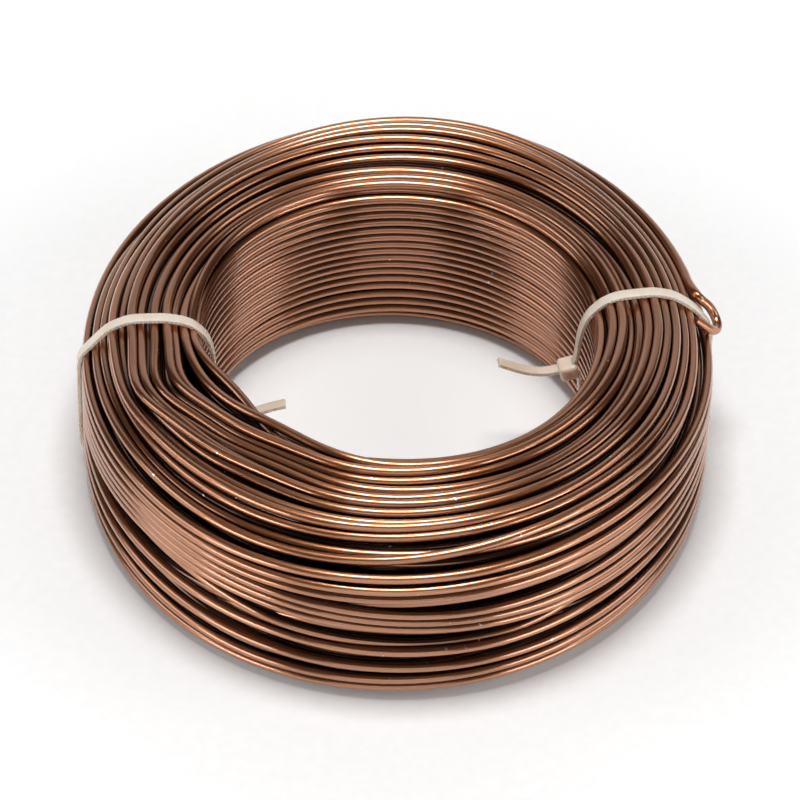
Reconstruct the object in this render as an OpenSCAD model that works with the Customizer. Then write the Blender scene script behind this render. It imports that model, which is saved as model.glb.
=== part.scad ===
// Coil of round aluminium craft wire, held together by two nylon cable ties.
// The coil lies flat: its axis is +Z, and z = 0 is the floor that it rests on.

/* [Wire] */
// Diameter of the wire
wire_d = 2; // [1.2:0.1:3]
// Least gap between neighbouring turns on the coil's skin
turn_gap = 0.25; // [0.05:0.05:0.5]
// How far down the turns that touch the floor are worn level
land_depth = 0.05; // [0.03:0.01:0.15]

/* [Coil] */
// Diameter over the outermost turns
coil_d = 132; // [118:1:180]
// Diameter of the eye, inside the innermost turns
eye_d = 79; // [60:1:88]
// Height of the coil, lying flat
coil_h = 40; // [32:1:60]
// Roundness of the coil's outer top edge
outer_top_r = 12; // [8:0.5:14]
// Roundness of the coil's outer bottom edge
outer_bottom_r = 6; // [4:0.5:10]
// Roundness of the two edges round the eye
eye_edge_r = 3; // [2.5:0.5:6]

/* [Slack turns] */
// Diameter of the ring where one turn of the top has sunk
ring_d = 96; // [92:0.5:102]
// One in so many turns of the outside lies slack, between the turns next to it
slack_every = 4; // [3:1:6]
// How far the slack turns have sunk
slack_depth = 2; // [0.5:0.1:2.5]

/* [Loose end] */
// Radius of the hook that the wire's loose end makes round the right strap
hook_r = 3.6; // [3.4:0.1:5]
// Downward slope of the hook, in degrees
hook_slope = 30; // [0:5:45]
// Where the hook leaves the outer top edge, in degrees up from the side
hook_rise = 20; // [10:5:40]

/* [Cable ties] */
// Width of a strap
strap_w = 2.5; // [1.8:0.1:3]
// Thickness of a strap
strap_t = 1; // [0.6:0.1:1.3]
// Gap between a strap and the turns that it holds
strap_gap = 0.2; // [0.1:0.05:0.3]
// Gap between a strap and the floor
floor_gap = 0.1; // [0.05:0.05:0.5]
// Width of a head, across its strap
head_w = 4.6; // [4:0.1:6]
// Length of a head, along its strap
head_l = 4.4; // [3:0.1:6]
// Depth of a head, out from its strap
head_depth = 3.2; // [2:0.1:5]
// Radius that a trimmed tail curls up to
tail_curl_r = 30; // [20:1:80]

/* [Left tie] */
// Bearing round the coil, in degrees
left_bearing = 183.5; // [150:0.5:210]
// Height of the head's middle
left_head_z = 10; // [9:0.5:26]
// Length of the tail that is left past the strap
left_tail_l = 17; // [5:0.5:20]
// Upward slope of the tail where it leaves the head, in degrees
left_tail_slope = 10; // [-10:1:20]

/* [Right tie] */
// Bearing round the coil, in degrees
right_bearing = 9.5; // [-20:0.5:30]
// Height of the head's middle
right_head_z = 21; // [9:0.5:26]
// Length of the tail that is left past the strap
right_tail_l = 18.5; // [5:0.5:20]
// Upward slope of the tail where it leaves the head, in degrees
right_tail_slope = -2; // [-10:1:20]

/* [Hidden] */
$fn = 96;

inner_x = eye_d / 2;
outer_x = coil_d / 2;
core_inset = wire_d / 4; // the hidden turns' core starts this far behind the skin's wire centres
channel_h = floor_gap + strap_t + strap_gap; // the turns over a strap are lifted by this much
channel_side = 0.3; // room on each side of a strap in its channel
slack_top = 60; // the slack turns end this far up the outer top edge, in degrees
hook_sweep = 280; // the hook's ends are buried between the turns
head_chamfer = 0.5;
reach = coil_d; // longer than anything that it cuts

// The section's corners, anticlockwise from the outer bottom one, for an outline that stands
// `grow` outside the skin: [distance from the axis, height, radius, first angle].
function corners(bottom, grow) = [
    [outer_x - outer_bottom_r, bottom + outer_bottom_r, outer_bottom_r + grow, -90],
    [outer_x - outer_top_r, coil_h - outer_top_r, outer_top_r + grow, 0],
    [inner_x + eye_edge_r, coil_h - eye_edge_r, eye_edge_r + grow, 90],
    [inner_x + eye_edge_r, bottom + eye_edge_r, eye_edge_r + grow, 180]
];

// The point of a corner's arc at an angle.
function on_corner(corner, angle) = [
    corner[0] + corner[2] * cos(angle),
    corner[1] + corner[2] * sin(angle)
];

function corner_start(corner) = on_corner(corner, corner[3]);
function corner_end(corner) = on_corner(corner, corner[3] + 90);
function corner_l(corner) = corner[2] * PI / 2;
function next_of(path, i) = path[(i + 1) % len(path)];
function side_l(path, i) = norm(corner_start(next_of(path, i)) - corner_end(path[i]));

function path_l(path, i = 0) =
    i == len(path) ? 0 : corner_l(path[i]) + side_l(path, i) + path_l(path, i + 1);

// The point at a distance along the outline: [distance from the axis, height, way out].
function along(path, s, i = 0) =
    let (corner = path[i], arc = corner_l(corner), side = side_l(path, i))
    s < arc ? concat(on_corner(corner, corner[3] + 90 * s / arc), corner[3] + 90 * s / arc)
    : s < arc + side ? concat(on_side(corner, s - arc), corner[3] + 90)
    : along(path, s - arc - side, i + 1);

// The point at a distance along the straight side that follows a corner.
function on_side(corner, s) =
    corner_end(corner) + s * [-sin(corner[3] + 90), cos(corner[3] + 90)];

skin_path = corners(-land_depth, -wire_d / 2);
skin_turns = floor(path_l(skin_path) / (wire_d + turn_gap));
skin_pitch = path_l(skin_path) / skin_turns;
skin = [
    for (i = [0 : skin_turns - 1])
        let (p = along(skin_path, i * skin_pitch))
        is_slack(p, i) ? sunk(p) : p
];

// Whether a turn is a slack one of the outside, or the one that has sunk in the top.
function is_slack(p, i) =
    p[2] == 90 ? abs(p[0] - ring_d / 2) < skin_pitch / 2
    : p[2] >= 0 && p[2] < slack_top && i % slack_every == 1;

// A place on the skin, moved in.
function sunk(p) = [p[0] - slack_depth * cos(p[2]), p[1] - slack_depth * sin(p[2]), p[2]];

// One rounded outline of the coil's section.
module section_outline(bottom, grow) {
    path = corners(bottom, grow);
    polygon([for (corner = path, end = [0, 90]) on_corner(corner, corner[3] + end)]);
    for (corner = path)
        translate([corner[0], corner[1]])
            circle(r = corner[2]);
}

// The skin's turns, worn level where they touch the floor, and the core that stands in for the
// turns behind them.
module coil_section() {
    difference() {
        union() {
            polygon([for (p = skin) [p[0] - core_inset * cos(p[2]), p[1] - core_inset * sin(p[2])]]);
            for (p = skin)
                translate([p[0], p[1]])
                    circle(d = wire_d, $fn = 48);
        }
        translate([0, -reach])
            square(reach);
    }
}

// Stands a section drawing upright at a bearing, with a width.
module upright(bearing, width) {
    rotate([0, 0, bearing])
        rotate([90, 0, 0])
            linear_extrude(width, center = true)
                children();
}

// The channel under the coil where the turns are lifted over a strap.
module strap_channel(bearing) {
    upright(bearing, strap_w + 2 * channel_side)
        difference() {
            translate([0, channel_h + outer_bottom_r - reach])
                square(reach);
            section_outline(channel_h, strap_gap / 2);
        }
}

// The loose end, hooked round the right strap.
module loose_end() {
    edge = on_corner(corners(0, 0)[1], hook_rise);
    rotate([0, 0, right_bearing])
        translate([edge[0], 0, edge[1]])
            rotate([0, hook_slope, 0])
                rotate([0, 0, -hook_sweep / 2])
                    rotate_extrude(angle = hook_sweep)
                        translate([hook_r, 0])
                            circle(d = wire_d, $fn = 48);
}

module wire_coil() {
    color("sienna")
        difference() {
            union() {
                rotate_extrude($fn = 180)
                    coil_section();
                loose_end();
            }
            strap_channel(left_bearing);
            strap_channel(right_bearing);
        }
}

module strap_loop(bearing) {
    upright(bearing, strap_w)
        difference() {
            section_outline(channel_h, strap_gap + strap_t);
            section_outline(channel_h, strap_gap);
        }
}

// The head stands on the eye's wall, with the strap running through its back.
module tie_head(bearing, head_z) {
    upright(bearing, head_w)
        translate([inner_x - strap_gap - strap_t / 2, head_z])
            polygon([
                [0, -head_l / 2],
                [0, head_l / 2],
                [head_chamfer - head_depth, head_l / 2],
                [-head_depth, head_l / 2 - head_chamfer],
                [-head_depth, head_chamfer - head_l / 2],
                [head_chamfer - head_depth, -head_l / 2]
            ]);
}

// The tail comes through the head and curls up, pointing across the eye.
module tie_tail(bearing, head_z, length, slope) {
    sweep = length / tail_curl_r * 180 / PI;
    upright(bearing, strap_w)
        translate([inner_x - strap_gap - strap_t / 2, head_z])
            rotate(-slope)
                translate([0, tail_curl_r])
                    intersection() {
                        difference() {
                            circle(r = tail_curl_r + strap_t / 2);
                            circle(r = tail_curl_r - strap_t / 2);
                        }
                        polygon([
                            [0, 0],
                            [-2 * tail_curl_r * sin(sweep), -2 * tail_curl_r * cos(sweep)],
                            [0, -2 * tail_curl_r]
                        ]);
                    }
}

module cable_tie(bearing, head_z, tail_l, tail_slope) {
    color("ivory") {
        strap_loop(bearing);
        tie_head(bearing, head_z);
        tie_tail(bearing, head_z, tail_l, tail_slope);
    }
}

module cable_tie_left() {
    cable_tie(left_bearing, left_head_z, left_tail_l, left_tail_slope);
}

module cable_tie_right() {
    cable_tie(right_bearing, right_head_z, right_tail_l, right_tail_slope);
}

wire_coil();
cable_tie_left();
cable_tie_right();
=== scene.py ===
"""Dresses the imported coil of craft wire: the wire is wound turn by turn and pressed against its
neighbours, and the two nylon cable ties are made with their teeth, heads and tails."""

import math

import bmesh
import bpy
import numpy as np
from mathutils import Matrix, Vector


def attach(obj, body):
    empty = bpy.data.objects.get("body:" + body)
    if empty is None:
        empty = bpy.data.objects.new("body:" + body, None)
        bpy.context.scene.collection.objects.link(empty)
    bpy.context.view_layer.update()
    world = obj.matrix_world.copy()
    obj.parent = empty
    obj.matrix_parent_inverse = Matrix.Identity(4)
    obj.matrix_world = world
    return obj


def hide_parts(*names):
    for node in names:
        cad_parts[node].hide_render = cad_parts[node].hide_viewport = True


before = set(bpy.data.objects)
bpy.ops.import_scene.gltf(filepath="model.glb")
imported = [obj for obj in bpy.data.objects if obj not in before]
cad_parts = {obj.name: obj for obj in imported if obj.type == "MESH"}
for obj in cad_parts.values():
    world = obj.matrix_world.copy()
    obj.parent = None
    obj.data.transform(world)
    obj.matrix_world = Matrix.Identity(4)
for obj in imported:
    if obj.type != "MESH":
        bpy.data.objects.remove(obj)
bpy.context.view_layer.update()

MM = 0.001  # the winding is worked out in millimetres

# ---------------------------------------------------------------- the wound wire

WIRE_D = 2.0
LAYERS = 12
ROW_PITCH = 2.32  # of the turns in a layer
EYE_ROW_PITCH = 2.1  # of the turns round the eye, which lie close together
SPARSE_ROWS = {LAYERS - 2: 1, LAYERS - 1: 5}  # rows that the two outermost layers lack
STEPS = 144  # stations round one turn
COIL_H = 40.0
EYE_R = 39.5
EYE_PULL = 1.05  # how far the ties pull the eye out of round
OUTER_R = 66.3
OUTER_PINCH = 1.8  # how far the ties pinch the outside
OUTER_TOP_R = 12.4
OUTER_BOTTOM_R = 2.5
INNER_BOTTOM_R = 3.0
INNER_TOP_R = 3.5
GROOVE_R = 47.6  # the top turns have sunk here, which leaves a dark ring round the coil's top
GROOVE_DEPTH = 2.0
GROOVE_REACH = 1.3  # how far from the ring's middle the turns have sunk
# Heights of the last turns, at the front of the coil
LOOSE_HEIGHTS = [1.1, 4.2, 8.9, 13.8, 17.8, 21, 24.4, 26.5, 30.3, 33]
LOOSE_DEPTH = 1.9  # how far the last turns stand outside the ones behind them
LOOSE_MIDDLE = 16  # the height that the last turns gather towards at the ties
LOOSE_END = 35  # the height that the very last one climbs to
LOOSE_TOP = 36
FLOOR_HELD = 10  # below this height the floor holds the turns still, more and more
LOOSE_TURNS = len(LOOSE_HEIGHTS)
START = math.radians(14)  # bearing where each turn starts and the last one ends
LEFT_TIE = math.radians(183.5)
RIGHT_TIE = math.radians(9.5)

STRAP_W = 2.25
STRAP_T = 0.9
TOOTH_PITCH = 0.87
TOOTH_DEPTH = 0.32
NOTCH_HALF = 0.2  # half the height of the notches in a strap's edges
NOTCH_DEPTH = 0.22  # as a share of half the strap's width

bearing = START - np.arange(STEPS) * 2 * math.pi / STEPS
rng = np.random.default_rng(11)


def evenly(points, spacing):
    """Points at an even spacing along a line of straight pieces."""
    walked = np.concatenate([[0], np.cumsum(np.linalg.norm(np.diff(points, axis=0), axis=1))])
    place = np.arange(int(walked[-1] / spacing) + 1) * spacing
    return np.stack([np.interp(place, walked, column) for column in points.T], axis=1)


def smooth_path(knots, spacing):
    """Evenly spaced points on a smooth curve through the knots."""
    knots = np.array(knots, float)
    ends = [2 * knots[0] - knots[1], *knots, 2 * knots[-1] - knots[-2]]
    t = np.linspace(0, 1, 24, endpoint=False)[:, None]
    fine = []
    for a, b, c, d in zip(ends, ends[1:], ends[2:], ends[3:]):
        fine.append(
            b
            + (c - a) * t / 2
            + (2 * a - 5 * b + 4 * c - d) * t**2 / 2
            + (3 * b - a - 3 * c + d) * t**3 / 2
        )
    return evenly(np.concatenate([*fine, knots[-1:]]), spacing)


# Both straps run down from the head, under the coil, up its outside and back over the top to
# the head, as [distance from the axis, height]. These courses hold the turns in while they are
# pressed together. Then the run over the outside and the top is pulled tight on the turns.
UNDER = [(39.6, 3.5), (43.5, 0.7), (52, 0.6), (60, 0.9)]
OUTSIDE = [(64.6, 5), (65.6, 14), (65.4, 26), (63.6, 33.5), (59.5, 38.6), (53, 40.7), (47, 40.8)]
INTO_EYE = [(42.3, 39.4), (39.2, 35.8), (37.8, 31)]
RIGHT_START = [(38.2, 18.5), (38.6, 12)]
RIGHT_TAIL = [
    (37.4, 26), (37.2, 23.2), (36.2, 21.6), (34.2, 21), (30, 20.5), (25.6, 21.9), (20.9, 24.5)
]
LEFT_START = [(38.4, 9.5), (38.9, 6.5)]
LEFT_TAIL = [(37.4, 24), (37.3, 15.5), (36.4, 13), (34, 12.2), (30, 12.8), (26, 14.5), (22.6, 15.5)]
right_strap = smooth_path([*RIGHT_START, *UNDER, *OUTSIDE, *INTO_EYE, *RIGHT_TAIL], TOOTH_PITCH / 4)
left_strap = smooth_path([*LEFT_START, *UNDER, *OUTSIDE, *INTO_EYE, *LEFT_TAIL], TOOTH_PITCH / 4)


def eye_radius(angle):
    """Radius of the eye, which the ties pull a little out of round."""
    return EYE_R + EYE_PULL * np.cos(2 * angle)


def outer_radius(angle):
    """Radius over the outermost turns, pinched at the two ties."""
    return OUTER_R - OUTER_PINCH * np.cos(2 * angle)


def corner_drop(distance, radius):
    """How far a rounded corner has fallen at a distance in from its side."""
    inside = np.clip(radius - distance, 0, radius)
    return radius - np.sqrt(radius**2 - inside**2)


def spread(share, angle):
    """Where a layer lies between the eye and the outside: packed at the ties, and looser towards
    the outside at the front and the back."""
    return share ** (1 + 0.28 * np.clip(-np.sin(angle), 0, 1) + 0.2 * np.clip(np.sin(angle), 0, 1))


def height_span(share, angle):
    """Lowest and highest wire centre at a share of the way from the eye to the outside."""
    depth = outer_radius(angle) - eye_radius(angle) - WIRE_D
    from_outside = (1 - share) * depth
    from_inside = share * depth
    top = (
        COIL_H
        - 1
        - corner_drop(from_outside, OUTER_TOP_R - 1)
        - corner_drop(from_inside, INNER_TOP_R - 1)
    )
    bottom = (
        1
        + corner_drop(from_outside, OUTER_BOTTOM_R - 1)
        + corner_drop(from_inside, INNER_BOTTOM_R - 1)
    )
    return bottom, top


def bump_at(angle, centre, width):
    """A smooth bump round one bearing."""
    away = (angle - centre + math.pi) % (2 * math.pi) - math.pi
    return np.exp(-((away / width) ** 2))


def looseness(angle):
    """How freely the turns wander: held at the ties, loosest at the front."""
    front = np.clip(-np.sin(angle), 0, 1)
    back = np.clip(np.sin(angle), 0, 1)
    held = 1 - 0.85 * np.maximum(bump_at(angle, LEFT_TIE, 0.35), bump_at(angle, RIGHT_TIE, 0.35))
    return (0.25 + 0.75 * front + 0.3 * back) * held


def winding_slots():
    """Where each turn starts, as [layer, share of the height], up one layer and down the next."""
    slots = []
    for layer in range(LAYERS):
        bottom, top = height_span(layer / (LAYERS - 1), bearing)
        pitch = ROW_PITCH if layer else EYE_ROW_PITCH
        rows = int(round(float(np.mean(top - bottom)) / pitch)) + 1 - SPARSE_ROWS.get(layer, 0)
        shares = np.linspace(0, 1, rows)
        if layer % 2:
            shares = shares[::-1]
        slots += [(layer, share) for share in shares]
    slots.append(slots[-1])  # the last layer ends with a whole turn on the floor
    return np.array(slots)


def path_noise(count, spacing, scale):
    """Smooth noise along a path of count stations, with a knot every so many stations."""
    knots = rng.normal(0, scale, (int(count / spacing) + 4, 2))
    place = np.arange(count) / spacing
    index = place.astype(int)
    t = (place - index)[:, None]
    a, b, c, d = (knots[index + i] for i in range(4))
    return (
        a * (1 - t) ** 3
        + b * (3 * t**3 - 6 * t**2 + 4)
        + c * (-3 * t**3 + 3 * t**2 + 3 * t + 1)
        + d * t**3
    ) / 6


def wave_field(across, up, angle, scale, least_swings, most_swings, lean):
    """A smooth random field over the section, which drifts slowly round the coil."""
    total = np.zeros_like(angle)
    for _ in range(9):
        swings = rng.uniform(least_swings, most_swings)
        leans = rng.uniform(-lean, lean)
        rounds = rng.integers(1, 4) * rng.choice([-1, 1])
        phase = rng.uniform(0, 2 * math.pi)
        total = total + np.sin(
            2 * math.pi * (swings * up + leans * across) + rounds * angle + phase
        )
    return scale * total / 3


def wind():
    """Where each turn starts, and the target path of the wire but for its last, loose turns: a
    radius and a height for each [turn, station]."""
    slots = winding_slots()
    turns = len(slots) - 1
    step = np.arange(turns * STEPS)
    share = (step % STEPS) / STEPS
    turn = step // STEPS
    layer = slots[turn, 0] * (1 - share) + slots[turn + 1, 0] * share
    up = slots[turn, 1] * (1 - share) + slots[turn + 1, 1] * share
    angle = START - share * 2 * math.pi
    across = spread(layer / (LAYERS - 1), angle)

    depth = outer_radius(angle) - eye_radius(angle) - WIRE_D
    radius = eye_radius(angle) + 1 + across * (depth - LOOSE_DEPTH)
    bottom, top = height_span(across, angle)
    top = top + np.interp(layer, np.arange(LAYERS), rng.normal(0, 0.35, LAYERS))
    top = top - GROOVE_DEPTH * np.exp(-(((radius - GROOVE_R) / GROOVE_REACH) ** 2))
    height = bottom + up * (top - bottom)

    free = looseness(angle) * (0.35 + 0.9 * across)
    lifted = free * np.clip((height - WIRE_D / 2) / FLOOR_HELD, 0, 1)
    place = (across, up, angle)
    swayed = wave_field(*place, scale=0.7, least_swings=0.8, most_swings=2, lean=0.4)
    radius = radius + lifted * swayed
    raised = wave_field(*place, scale=1.5, least_swings=0.8, most_swings=2, lean=0.4)
    height = height + lifted * raised
    bundled = wave_field(*place, scale=2.4, least_swings=2, most_swings=4, lean=1)
    height = height + lifted * across**4 * bundled
    wander = path_noise(turns * STEPS, spacing=STEPS / 5, scale=0.4)
    radius = radius + lifted * wander[:, 0]
    height = height + free * wander[:, 1]

    path = np.stack([radius, height], axis=1).reshape(turns, STEPS, 2)
    return slots, path


SLUMP_FROM = 0.72  # share of the height, above which the turns slump
SLUMP_LAYER = 4.2  # the layer that is bent outwards the furthest


def slump(slots, path):
    """Opens the upper turns in front of the left tie: the two layers next to the eye fall into it,
    and the others are bent outwards beside the strap and inwards past it."""
    for turn in range(len(path)):
        layer, share = slots[turn]
        upper = np.clip((share - SLUMP_FROM) / (1 - SLUMP_FROM), 0, 1)
        if layer == 0:
            path[turn, :, 0] -= 3.3 * upper * bump_at(bearing, math.radians(213), 0.34)
            path[turn, :, 1] -= 2.5 * upper * bump_at(bearing, math.radians(240), 0.3)
        elif layer == 1:
            path[turn, :, 0] -= 3.1 * upper * bump_at(bearing, math.radians(234), 0.36)
        else:
            outwards = max(0, 1 - (layer - SLUMP_LAYER) ** 2 / 18)
            path[turn, :, 0] += 3.4 * outwards * upper * bump_at(bearing, math.radians(203), 0.18)
            path[turn, :, 0] -= 2.2 * outwards * upper * bump_at(bearing, math.radians(240), 0.26)


def loose_turns():
    """The last turns, which lie over the outside of the coil and spread out at its front."""
    angle = np.tile(bearing, LOOSE_TURNS)
    count = len(angle)
    place = np.arange(count) / STEPS
    at_front = np.interp(place, np.arange(LOOSE_TURNS) + 0.3, LOOSE_HEIGHTS)
    front = np.clip(-np.sin(angle), 0, 1)
    wander = path_noise(count, spacing=STEPS / 4, scale=2.4)[:, 1] * looseness(angle)
    height = LOOSE_MIDDLE + (at_front - LOOSE_MIDDLE) * (0.8 + 0.2 * front) + wander
    last_half_turn = np.clip(place - LOOSE_TURNS + 0.5, 0, 0.5) * 2
    height = height + (LOOSE_END - height) * last_half_turn
    height = np.maximum(height, WIRE_D / 2)
    for station in range(STEPS, count):
        height[station] = max(height[station], height[station - STEPS] + WIRE_D)
    for _ in range(12):
        height[1:-1] = (height[:-2] + 2 * height[1:-1] + height[2:]) / 4
    height = np.minimum(height, LOOSE_TOP)
    radius = outer_radius(angle) - 1 - corner_drop(COIL_H - height, OUTER_TOP_R)
    radius = radius - corner_drop(height, OUTER_BOTTOM_R)
    return np.stack([radius, height], axis=1).reshape(LOOSE_TURNS, STEPS, 2)


def neighbour_table(path):
    """For each turn, the turns that come near it, padded with the turn itself."""
    coarse = path[:, ::4]
    near = []
    for turn in range(len(path)):
        gap = np.linalg.norm(coarse - coarse[turn], axis=2).min(axis=1)
        gap[turn] = 99
        near.append(np.flatnonzero(gap < WIRE_D * 1.6))
    width = max(len(n) for n in near)
    table = np.repeat(np.arange(len(path))[:, None], width, axis=1)
    for turn, found in enumerate(near):
        table[turn, : len(found)] = found
    return table


def along_wire(values):
    """Smooths values along the wire, through the ends of the turns."""
    flat = values.reshape(-1, 2)
    for _ in range(3):
        middle = (flat[:-2] + 2 * flat[1:-1] + flat[2:]) / 4
        flat = np.concatenate([flat[:1], middle, flat[-1:]])
    return flat.reshape(values.shape)


def clear_of_strap(path, strap, tie):
    """Keeps the turns inside a strap, at the stations round its bearing."""
    points = strap[::4]
    ahead = np.gradient(points, axis=0)
    ahead /= np.linalg.norm(ahead, axis=1, keepdims=True)
    wire_side = np.stack([-ahead[:, 1], ahead[:, 0]], axis=1)
    reach = (WIRE_D + STRAP_T) / 2
    for station in range(STEPS):
        near = float(bump_at(bearing[station], tie, 0.05))
        if near < 0.1:
            continue
        apart = path[:, station, None] - points
        closest = np.linalg.norm(apart, axis=2).argmin(axis=1)
        inside = (apart[np.arange(len(path)), closest] * wire_side[closest]).sum(axis=1)
        push = np.clip(reach - inside, 0, None) * near
        path[:, station] += wire_side[closest] * push[:, None]


PUSH_SHARE = 0.45  # of an overlap, that each of the two turns gives way by in one round
KEPT_AWAY = 0.985  # of a turn's distance from its target, that it keeps in one round
NEIGHBOURS_LAST = 12  # rounds before the neighbours are looked for again
TOP_GAP = 0.5  # the wire centres stay this far below the coil's height
ROUNDS = 140


def press_together(target, rounds):
    """Pushes overlapping turns apart, and keeps each one smooth and near its target."""
    path = target.copy()
    for number in range(rounds):
        if number % NEIGHBOURS_LAST == 0:
            table = neighbour_table(path)
        apart = path[:, None] - path[table]
        gap = np.linalg.norm(apart, axis=3)
        gap[gap == 0] = 99
        push = np.clip(WIRE_D - gap, 0, None) / gap * PUSH_SHARE
        path = path + (apart * push[..., None]).sum(axis=1)
        away = path - target
        path = target + along_wire(away) * KEPT_AWAY
        clear_of_strap(path, right_strap, RIGHT_TIE)
        clear_of_strap(path, left_strap, LEFT_TIE)
        path[..., 0] = np.minimum(path[..., 0], outer_radius(bearing) - WIRE_D / 2)
        path[..., 1] = np.clip(path[..., 1], WIRE_D / 2, COIL_H - TOP_GAP)
    return path


slots, winding = wind()
slump(slots, winding)
winding = np.concatenate([winding, loose_turns()])
winding = press_together(winding, ROUNDS)


STRAP_SWEEP = (300, 456, 5)  # bearings in the section, from low outside to over the top, in degrees
STRAP_AIR = 0.1
STRAP_STIFFNESS = 60  # rounds of smoothing


def pulled_tight(start, tail, tie):
    """A strap's course, with its run over the outside and the top tight on the turns there."""
    held = winding[:, bump_at(bearing, tie, 0.05) > 0.6].reshape(-1, 2)
    over = []
    for angle in np.radians(np.arange(*STRAP_SWEEP)):
        out = np.array([math.cos(angle), math.sin(angle)])
        over.append(held[(held @ out).argmax()] + (WIRE_D + STRAP_T + STRAP_AIR) / 2 * out)
    fine = TOOTH_PITCH / 4
    course = [smooth_path([*start, *UNDER], fine), over, smooth_path([*INTO_EYE, *tail], fine)]
    course = evenly(np.concatenate(course), fine)
    for _ in range(STRAP_STIFFNESS):
        course[1:-1] = (course[:-2] + 2 * course[1:-1] + course[2:]) / 4
    return course


right_strap = pulled_tight(RIGHT_START, RIGHT_TAIL, RIGHT_TIE)
left_strap = pulled_tight(LEFT_START, LEFT_TAIL, LEFT_TIE)


def to_space(path):
    """Points in metres from radii and heights along a path that starts where the turns start."""
    flat = path.reshape(-1, 2)
    angle = START - np.arange(len(flat)) * 2 * math.pi / STEPS
    return MM * np.stack(
        [flat[:, 0] * np.cos(angle), flat[:, 0] * np.sin(angle), flat[:, 1]], axis=1
    )


def tube(points, sides, radius):
    """Corners and faces of a closed tube along points."""
    ahead = np.gradient(points, axis=0)
    ahead /= np.linalg.norm(ahead, axis=1, keepdims=True)
    out = points * [1, 1, 0]
    out -= ahead * (out * ahead).sum(axis=1, keepdims=True)
    out /= np.linalg.norm(out, axis=1, keepdims=True)
    up = np.cross(ahead, out)
    turn = np.arange(sides) * 2 * math.pi / sides
    ring = np.cos(turn)[None, :, None] * out[:, None] + np.sin(turn)[None, :, None] * up[:, None]
    corners = (points[:, None] + radius * ring).reshape(-1, 3)
    start = np.arange(len(points) - 1)[:, None] * sides
    side = np.arange(sides)[None, :]
    after = (side + 1) % sides
    walls = np.stack([start + side, start + after, start + sides + after, start + sides + side], 2)
    faces = walls.reshape(-1, 4)[:, ::-1].tolist()
    faces.append(list(range(sides)))
    faces.append(list(range(len(corners) - 1, len(corners) - 1 - sides, -1)))
    return corners, faces


def mesh_piece(name, parts, material, shade=None):
    """One object from several lots of corners and faces, with the amount of painted shade at each
    corner.
    """
    corners = []
    faces = []
    total = 0
    for part_corners, part_faces in parts:
        corners.append(part_corners)
        faces += [[total + i for i in face] for face in part_faces]
        total += len(part_corners)
    mesh = bpy.data.meshes.new(name)
    mesh.from_pydata(np.concatenate(corners).tolist(), [], faces)
    mesh.shade_smooth()
    mesh.set_sharp_from_angle(angle=math.radians(75))
    mesh.materials.append(material)
    if shade is not None:
        mesh.attributes.new("painted_shade_occlusion", "FLOAT", "POINT").data.foreach_set("value", shade)
    piece = bpy.data.objects.new(name, mesh)
    bpy.context.scene.collection.objects.link(piece)
    return piece


def painted_shade_occlusion(turn, sides):
    """How much of its surroundings each corner of a turn can't see for the turns round it. The
    wire's colour is darkened by this amount, as painted shade.
    """
    angle = np.arange(sides) * 2 * math.pi / sides
    facing = np.stack([np.cos(angle), np.sin(angle)], axis=1)
    corners = winding[turn][:, None] + facing
    near = np.unique(near_turns[turn][near_turns[turn] != turn])
    apart = winding[near].transpose(1, 0, 2)[:, None] - corners[:, :, None]
    distance = np.maximum(np.linalg.norm(apart, axis=3), 1)
    ahead = (apart * facing[None, :, None]).sum(axis=3)
    aside = apart[..., 1] * facing[None, :, None, 0] - apart[..., 0] * facing[None, :, None, 1]
    middle = np.arctan2(aside, ahead)
    half = np.arcsin(1 / distance)
    low = np.sin(np.clip(middle - half, -math.pi / 2, math.pi / 2))
    high = np.sin(np.clip(middle + half, -math.pi / 2, math.pi / 2))
    return np.clip((high - low).sum(axis=2) / 2, 0, 1)


# ---------------------------------------------------------------- materials


def new_material(name):
    material = bpy.data.materials.new(name)
    material.use_nodes = True
    return material, material.node_tree.nodes, material.node_tree.links


def math_node(nodes, links, operation, first, second=None):
    """A maths node on two sockets or numbers."""
    node = nodes.new("ShaderNodeMath")
    node.operation = operation
    for socket, value in zip(node.inputs, (first, second)):
        if value is None:
            continue
        if isinstance(value, (int, float)):
            socket.default_value = value
        else:
            links.new(value, socket)
    return node.outputs[0]


def along_coil(nodes, links, turns, per_mm):
    """Noise that is drawn out along the wire: so many waves round the coil, and so many a
    millimetre across it."""
    place = nodes.new("ShaderNodeTexCoord").outputs["Object"]
    split = nodes.new("ShaderNodeSeparateXYZ")
    links.new(place, split.inputs[0])
    x, y, z = split.outputs
    x_squared = math_node(nodes, links, "MULTIPLY", x, x)
    y_squared = math_node(nodes, links, "MULTIPLY", y, y)
    squares = math_node(nodes, links, "ADD", x_squared, y_squared)
    radius = math_node(nodes, links, "SQRT", squares)
    join = nodes.new("ShaderNodeCombineXYZ")
    for index, value in enumerate((x, y)):
        share = math_node(nodes, links, "DIVIDE", value, radius)
        round_it = math_node(nodes, links, "MULTIPLY", share, turns / (2 * math.pi))
        links.new(round_it, join.inputs[index])
    links.new(math_node(nodes, links, "MULTIPLY", z, per_mm * 1000), join.inputs[2])
    noise = nodes.new("ShaderNodeTexNoise")
    noise.noise_dimensions = "4D"
    noise.inputs["Scale"].default_value = 1
    noise.inputs["Detail"].default_value = 2
    links.new(join.outputs[0], noise.inputs["Vector"])
    links.new(math_node(nodes, links, "MULTIPLY", radius, per_mm * 1000), noise.inputs["W"])
    return noise.outputs[0]


def grain(nodes, links, per_mm, detail=2.0):
    """Noise that is even in every direction."""
    noise = nodes.new("ShaderNodeTexNoise")
    noise.inputs["Scale"].default_value = per_mm * 1000
    noise.inputs["Detail"].default_value = detail
    links.new(nodes.new("ShaderNodeTexCoord").outputs["Object"], noise.inputs["Vector"])
    return noise.outputs[0]


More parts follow.
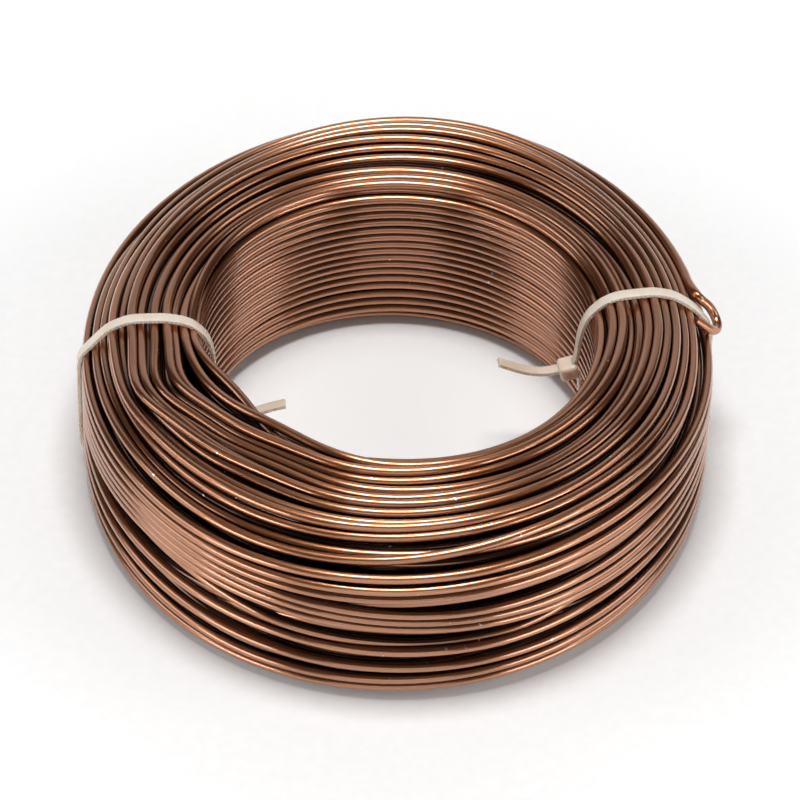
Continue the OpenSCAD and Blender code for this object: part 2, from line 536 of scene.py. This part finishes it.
def colour_ramp(nodes, links, value, stops):
    """Colours at places on a ramp, read with a value."""
    ramp = nodes.new("ShaderNodeValToRGB")
    while len(ramp.color_ramp.elements) < len(stops):
        ramp.color_ramp.elements.new(0.5)
    for element, (place, colour) in zip(ramp.color_ramp.elements, stops):
        element.position = place
        element.color = (*colour, 1)
    links.new(value, ramp.inputs[0])
    return ramp.outputs[0]


def mixed(nodes, links, share, first, second):
    """One colour mixed over another by a share."""
    mix = nodes.new("ShaderNodeMix")
    mix.data_type = "RGBA"
    links.new(share, mix.inputs["Factor"])
    for socket, value in ((mix.inputs[6], first), (mix.inputs[7], second)):
        if isinstance(value, tuple):
            socket.default_value = (*value, 1)
        else:
            links.new(value, socket)
    return mix.outputs[2]


def ranged(nodes, links, value, low, high, out_low, out_high):
    """A value moved from one range to another, and held inside it."""
    node = nodes.new("ShaderNodeMapRange")
    links.new(value, node.inputs[0])
    for socket, number in zip(node.inputs[1:5], (low, high, out_low, out_high)):
        socket.default_value = number
    return node.outputs[0]


def bump(nodes, links, height, strength, depth_mm):
    """Small relief from a height, in millimetres at its deepest."""
    node = nodes.new("ShaderNodeBump")
    node.inputs["Strength"].default_value = strength
    node.inputs["Distance"].default_value = depth_mm * MM
    links.new(height, node.inputs["Height"])
    return node.outputs[0]


def wire_material():
    """Dyed, anodised aluminium: brown metal under a clear film, with drawing streaks, turns of
    slightly different tone, painted shade in the gaps between them, and nicks where bright metal
    shows."""
    material, nodes, links = new_material("anodised wire")
    shader = nodes["Principled BSDF"]
    shader.inputs["Metallic"].default_value = 1.0
    shader.inputs["Anisotropic"].default_value = 0.65
    shader.inputs["Anisotropic Rotation"].default_value = 0.25
    round_the_coil = nodes.new("ShaderNodeTangent")
    round_the_coil.direction_type = "RADIAL"
    round_the_coil.axis = "Z"
    links.new(round_the_coil.outputs[0], shader.inputs["Tangent"])
    shader.inputs["Coat Weight"].default_value = 1
    shader.inputs["Coat Roughness"].default_value = 0.1
    shader.inputs["Coat IOR"].default_value = 1.65

    turn_tone = along_coil(nodes, links, 5, 0.4)
    streaks = along_coil(nodes, links, 22, 4)
    brown = colour_ramp(
        nodes,
        links,
        turn_tone,
        [(0.3, (0.34, 0.133, 0.056)), (0.5, (0.42, 0.171, 0.077)), (0.7, (0.5, 0.212, 0.101))],
    )
    streak_share = ranged(nodes, links, streaks, 0.4, 0.75, 0, 0.2)
    streaked = mixed(nodes, links, streak_share, brown, (0.27, 0.11, 0.052))
    # Painted shade: the brown is darkened towards near black where the turns round a corner hide its
    # surroundings.
    between = nodes.new("ShaderNodeAttribute")
    between.attribute_name = "painted_shade_occlusion"
    painted_shade_share = ranged(nodes, links, between.outputs["Fac"], 0.42, 0.7, 0, 0.88)
    with_painted_shade = mixed(nodes, links, painted_shade_share, streaked, (0.05, 0.014, 0.005))
    nick_places = ranged(nodes, links, grain(nodes, links, 0.7), 0.73, 0.75, 0, 1)
    nick_zones = ranged(nodes, links, grain(nodes, links, 0.045, 1), 0.54, 0.6, 0, 1)
    nicks = math_node(nodes, links, "MULTIPLY", nick_places, nick_zones)
    finished = mixed(nodes, links, nicks, with_painted_shade, (0.85, 0.8, 0.76))
    links.new(finished, shader.inputs["Base Color"])
    links.new(ranged(nodes, links, streaks, 0.25, 0.75, 0.28, 0.34), shader.inputs["Roughness"])
    links.new(bump(nodes, links, streaks, 0.1, 0.01), shader.inputs["Normal"])
    return material


def nylon_material():
    """Natural nylon: milky, a little see-through, with a faint grain."""
    material, nodes, links = new_material("natural nylon")
    shader = nodes["Principled BSDF"]
    shader.inputs["Subsurface Weight"].default_value = 1.0
    shader.inputs["Subsurface Radius"].default_value = (1.0, 0.85, 0.7)
    shader.inputs["Subsurface Scale"].default_value = 0.002
    clouds = grain(nodes, links, 0.25)
    cloud_share = ranged(nodes, links, clouds, 0.35, 0.65, 0, 1)
    milky = mixed(nodes, links, cloud_share, (0.8, 0.625, 0.5), (0.86, 0.69, 0.575))
    links.new(milky, shader.inputs["Base Color"])
    fine = grain(nodes, links, 3)
    links.new(ranged(nodes, links, fine, 0.3, 0.7, 0.32, 0.46), shader.inputs["Roughness"])
    links.new(bump(nodes, links, fine, 0.2, 0.03), shader.inputs["Normal"])
    return material


def floor_material():
    """A matt white sheet. Away from the coil the camera and the metal see it glow as white paper
    that is lit as well as it is beside the coil, an even backdrop. In the coil's eye it glows a
    little as well, which is painted light on the sheet there."""
    material, nodes, links = new_material("floor")
    shader = nodes["Principled BSDF"]
    fibres = ranged(nodes, links, grain(nodes, links, 0.4), 0.3, 0.7, 0, 1)
    paper = mixed(nodes, links, fibres, (0.86, 0.86, 0.86), (0.89, 0.89, 0.89))
    links.new(paper, shader.inputs["Base Color"])
    shader.inputs["Roughness"].default_value = 0.9
    shader.inputs["Specular IOR Level"].default_value = 0.1
    shader.inputs["Emission Color"].default_value = (1, 1, 1, 1)
    path = nodes.new("ShaderNodeLightPath").outputs
    seen = math_node(nodes, links, "MAXIMUM", path["Is Camera Ray"], path["Is Glossy Ray"])
    seen = math_node(nodes, links, "MAXIMUM", seen, path["Is Transmission Ray"])
    away = nodes.new("ShaderNodeVectorMath")
    away.operation = "LENGTH"
    links.new(nodes.new("ShaderNodeTexCoord").outputs["Object"], away.inputs[0])
    around = ranged(nodes, links, away.outputs["Value"], 0.06, 0.6, 0.05, 1)
    # Painted light: the sheet glows brighter in the coil's eye, most at its middle.
    painted_light_in_eye = ranged(nodes, links, away.outputs["Value"], 0.028, 0.042, 0.2, 0.03)
    backdrop_and_painted_light = math_node(nodes, links, "MAXIMUM", around, painted_light_in_eye)
    links.new(math_node(nodes, links, "MULTIPLY", seen, backdrop_and_painted_light), shader.inputs["Emission Strength"])
    return material


wire_finish = wire_material()
nylon_finish = nylon_material()

# ---------------------------------------------------------------- the wire's pieces


def skin_depth(slots):
    """How many turns lie between each turn and the coil's surface."""
    depth = []
    for layer, share in slots:
        rows = np.count_nonzero(slots[:, 0] == layer) - 1
        from_top = (1 - share) * rows
        from_bottom = share * rows
        depth.append(min(layer, LAYERS - 1 - layer, from_top, from_bottom))
    depth = np.array(depth)
    return np.concatenate([np.minimum(depth[:-1], depth[1:]), np.zeros(LOOSE_TURNS)])


# The wire's end comes out beside the right strap, bends round it and goes back in, as
# [bearing in degrees, distance from the axis, height].
HAIRPIN = [
    (12.6, 62.6, 35.2),
    (12.0, 63.9, 33.9),
    (11.6, 65.2, 32.4),
    (10.6, 66.1, 30.8),
    (9, 66.3, 30.1),
    (7.7, 65.6, 30.2),
    (7.0, 64.3, 31.4),
    (6.8, 62.7, 33),
    (6.8, 61, 34.6),
]
hairpin = [
    (r * math.cos(math.radians(a)), r * math.sin(math.radians(a)), z) for a, r, z in HAIRPIN
]

# The wire is shown in lengths, so that no mesh is too heavy. These are the sides of their tubes.
SIDES = {"wire_eye": 14, "wire_ends": 14, "wire_outside": 14, "wire_second": 10, "wire_core": 6}
SECOND_DEPTH = 0.9
CORE_DEPTH = 1.9


def length_of(turn, depth):
    """Which length of the wire a turn belongs to, by how many turns lie over it."""
    if depth >= CORE_DEPTH:
        return "wire_core"
    if depth >= SECOND_DEPTH:
        return "wire_second"
    if turn >= len(slots) - 1 or slots[turn, 0] == LAYERS - 1:
        return "wire_outside"
    return "wire_eye" if slots[turn, 0] == 0 else "wire_ends"


near_turns = neighbour_table(winding)
lengths = [length_of(turn, depth) for turn, depth in enumerate(skin_depth(slots))]
tubes = {name: [] for name in SIDES}
shades = {name: [] for name in SIDES}
first = 0
for turn in range(1, len(winding) + 1):
    if turn < len(winding) and lengths[turn] == lengths[first]:
        continue
    name = lengths[first]
    run = winding[first:turn].reshape(-1, 2)
    if turn < len(winding):
        run = to_space(np.concatenate([run, winding[turn, :1]]))
    else:
        bend = np.concatenate([to_space(run)[-2:] / MM, hairpin])
        run = np.concatenate([to_space(run)[:-2], smooth_path(bend, 0.5) * MM])
    tubes[name].append(tube(run, SIDES[name], WIRE_D / 2 * MM))
    # Painted shade at each corner of these turns; the wire's bent end after the last turn gets none.
    shade = np.concatenate([painted_shade_occlusion(number, SIDES[name]) for number in range(first, turn)])
    beyond = np.zeros((max(0, len(run) - len(shade)), SIDES[name]))
    if turn < len(winding):
        beyond += shade[-1]
    shades[name].append(np.concatenate([shade, beyond])[: len(run)].ravel())
    first = turn

for name in SIDES:
    piece = mesh_piece(name, tubes[name], wire_finish, np.concatenate(shades[name]))
    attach(piece, "root")
    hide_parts("wire_coil")

# ---------------------------------------------------------------- the cable ties


def rounded_rectangle(width, height, radius, steps=3):
    """Corners of a rounded rectangle round the origin."""
    points = []
    for quarter in range(4):
        sx = (1, -1, -1, 1)[quarter]
        sy = (1, 1, -1, -1)[quarter]
        for step in range(steps + 1):
            a = math.radians(90 * (quarter + step / steps))
            points.append(
                (
                    sx * (width / 2 - radius) + radius * math.cos(a),
                    sy * (height / 2 - radius) + radius * math.sin(a),
                )
            )
    return np.array(points)


def upright(points, tie):
    """Points in metres from [distance from the axis, across, height] in millimetres at a bearing."""
    out = np.array([math.cos(tie), math.sin(tie), 0])
    across = np.array([-math.sin(tie), math.cos(tie), 0])
    return MM * (
        points[..., :1] * out + points[..., 1:2] * across + points[..., 2:] * np.array([0, 0, 1])
    )


def strap_band(course, tie):
    """Corners and faces of one strap, with teeth on the side that faces the wire and notches in
    its two edges."""
    ahead = np.gradient(course, axis=0)
    ahead /= np.linalg.norm(ahead, axis=1, keepdims=True)
    wire_side = np.stack([-ahead[:, 1], ahead[:, 0]], axis=1)
    plain = list(rounded_rectangle(STRAP_W, STRAP_T, 0.18))
    half = STRAP_W / 2
    rung = [(half * 0.62, STRAP_T / 2), (-half * 0.62, STRAP_T / 2)]
    left_edge = [(-half, NOTCH_HALF), (-half, -NOTCH_HALF)]
    right_edge = [(half, -NOTCH_HALF), (half, NOTCH_HALF)]
    outline = np.array([*plain[:4], *rung, *plain[4:8], *left_edge, *plain[8:], *right_edge])
    sides = len(outline)
    tooth = np.array([1.0, 0.66, 0.33, 0.0])[np.arange(len(course)) % 4][:, None]
    in_rung = (np.abs(outline[:, 0]) < half * 0.7) & (outline[:, 1] > 0.49 * STRAP_T)
    in_side = np.abs(outline[:, 1]) < NOTCH_HALF * 1.05
    width = outline[:, 0] * (1 - NOTCH_DEPTH * tooth * in_side)
    height = outline[:, 1] - TOOTH_DEPTH * tooth * in_rung
    corners = np.stack(
        [
            course[:, None, 0] + wire_side[:, None, 0] * height,
            width,
            course[:, None, 1] + wire_side[:, None, 1] * height,
        ],
        axis=2,
    ).reshape(-1, 3)
    start = np.arange(len(course) - 1)[:, None] * sides
    side = np.arange(sides)[None, :]
    after = (side + 1) % sides
    walls = np.stack([start + side, start + after, start + sides + after, start + sides + side], 2)
    faces = walls.reshape(-1, 4).tolist()
    faces.append(list(range(sides))[::-1])
    faces.append(list(range(len(corners) - sides, len(corners))))
    return upright(corners, tie), faces


HEAD_SIZE = (4.0, 4.2, 3.7)  # out from the wall, across the strap, along it
HEAD_BEVEL = 0.8
SLOT_WALL = 0.55
SLOT_DEPTH = 1.2  # on each side


def tie_head(name, tie, middle, tilt):
    """The head: a bevelled block, with the mouth of the tail's slot sunk in its front and back."""
    bm = bmesh.new()
    bmesh.ops.create_cube(bm, size=1)
    bmesh.ops.scale(bm, vec=HEAD_SIZE, verts=bm.verts)
    bmesh.ops.bevel(
        bm, geom=list(bm.edges), offset=HEAD_BEVEL, segments=4, profile=0.5, affect="EDGES"
    )
    for side in (-1, 1):
        face = max(bm.faces, key=lambda f: f.normal.x * side + f.calc_area() * 0.01)
        bmesh.ops.inset_region(bm, faces=[face], thickness=SLOT_WALL)
        moved = bmesh.ops.extrude_discrete_faces(bm, faces=[face])["faces"][0]
        bmesh.ops.translate(bm, vec=(-side * SLOT_DEPTH, 0, 0), verts=moved.verts)
    mesh = bpy.data.meshes.new(name)
    bm.to_mesh(mesh)
    bm.free()
    mesh.shade_smooth()
    mesh.set_sharp_from_angle(angle=math.radians(50))
    head = bpy.data.objects.new(name, mesh)
    bpy.context.scene.collection.objects.link(head)
    mesh.materials.append(nylon_finish)
    place = Vector(upright(np.array([middle[0], 0, middle[1]]), tie))
    mesh.transform(
        Matrix.Translation(place)
        @ Matrix.Rotation(tie, 4, "Z")
        @ Matrix.Rotation(-math.radians(tilt), 4, "Y")
        @ Matrix.Scale(MM, 4)
    )
    return head


for side, course, tie, middle, tilt in (
    ("left", left_strap, LEFT_TIE, (35.7, 12.2), 5),
    ("right", right_strap, RIGHT_TIE, (35.7, 20.8), 12),
):
    band = mesh_piece(f"tie_{side}_strap", [strap_band(course, tie)], nylon_finish)
    head = tie_head(f"tie_{side}_head", tie, middle, tilt)
    for piece in (band, head):
        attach(piece, "root")
        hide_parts(f"cable_tie_{side}")

# ---------------------------------------------------------------- the stage

bpy.ops.mesh.primitive_plane_add(size=24)
floor = bpy.context.active_object
floor.name = "floor"
floor.data.materials.append(floor_material())

world = bpy.data.worlds.new("studio")
bpy.context.scene.world = world
world.use_nodes = True
world.node_tree.nodes["Background"].inputs["Color"].default_value = (0.03, 0.03, 0.03, 1)


def soft_lamp(name, place, size, power):
    """A soft box that points at the coil."""
    lamp = bpy.data.lights.new(name, "AREA")
    lamp.shape = "RECTANGLE"
    lamp.size, lamp.size_y = size
    lamp.energy = power
    holder = bpy.data.objects.new(name, lamp)
    holder.location = place
    towards = Vector((0, 0, 0.02)) - Vector(place)
    holder.rotation_euler = towards.to_track_quat("-Z", "Y").to_euler()
    bpy.context.scene.collection.objects.link(holder)


soft_lamp("lamp over", (0, 0, 0.9), (0.34, 0.24), 5.6)
soft_lamp("lamp behind", (0, 1.2, 0.6), (2.4, 1.1), 5.2)
soft_lamp("lamp left", (-0.85, -0.15, 0.5), (0.5, 0.4), 1.8)
soft_lamp("lamp right", (0.85, -0.15, 0.5), (0.5, 0.4), 1.8)
soft_lamp("lamp left front", (-0.85, -0.75, 0.14), (0.5, 0.18), 3)
soft_lamp("lamp right front", (0.85, -0.75, 0.14), (0.5, 0.18), 3.3)
soft_lamp("lamp front", (0, -1.1, 0.4), (0.8, 0.3), 1.5)

# ---------------------------------------------------------------- the camera

ELEVATION = math.radians(45.4)
ROLL = math.radians(1.65)
AIM = Vector((0.76, 0, 16.07)) * MM
REACH = 1.071  # from the camera to the point it looks at, in metres

camera_data = bpy.data.cameras.new("camera")
camera_data.sensor_width = 36
camera_data.lens = 234.1
camera = bpy.data.objects.new("camera", camera_data)
bpy.context.scene.collection.objects.link(camera)
look = Vector((0, math.cos(ELEVATION), -math.sin(ELEVATION)))
camera.matrix_world = (
    Matrix.Translation(AIM - look * REACH)
    @ look.to_track_quat("-Z", "Y").to_matrix().to_4x4()
    @ Matrix.Rotation(ROLL, 4, "Z")
)
bpy.context.scene.camera = camera
bpy.context.scene.view_settings.view_transform = "Standard"
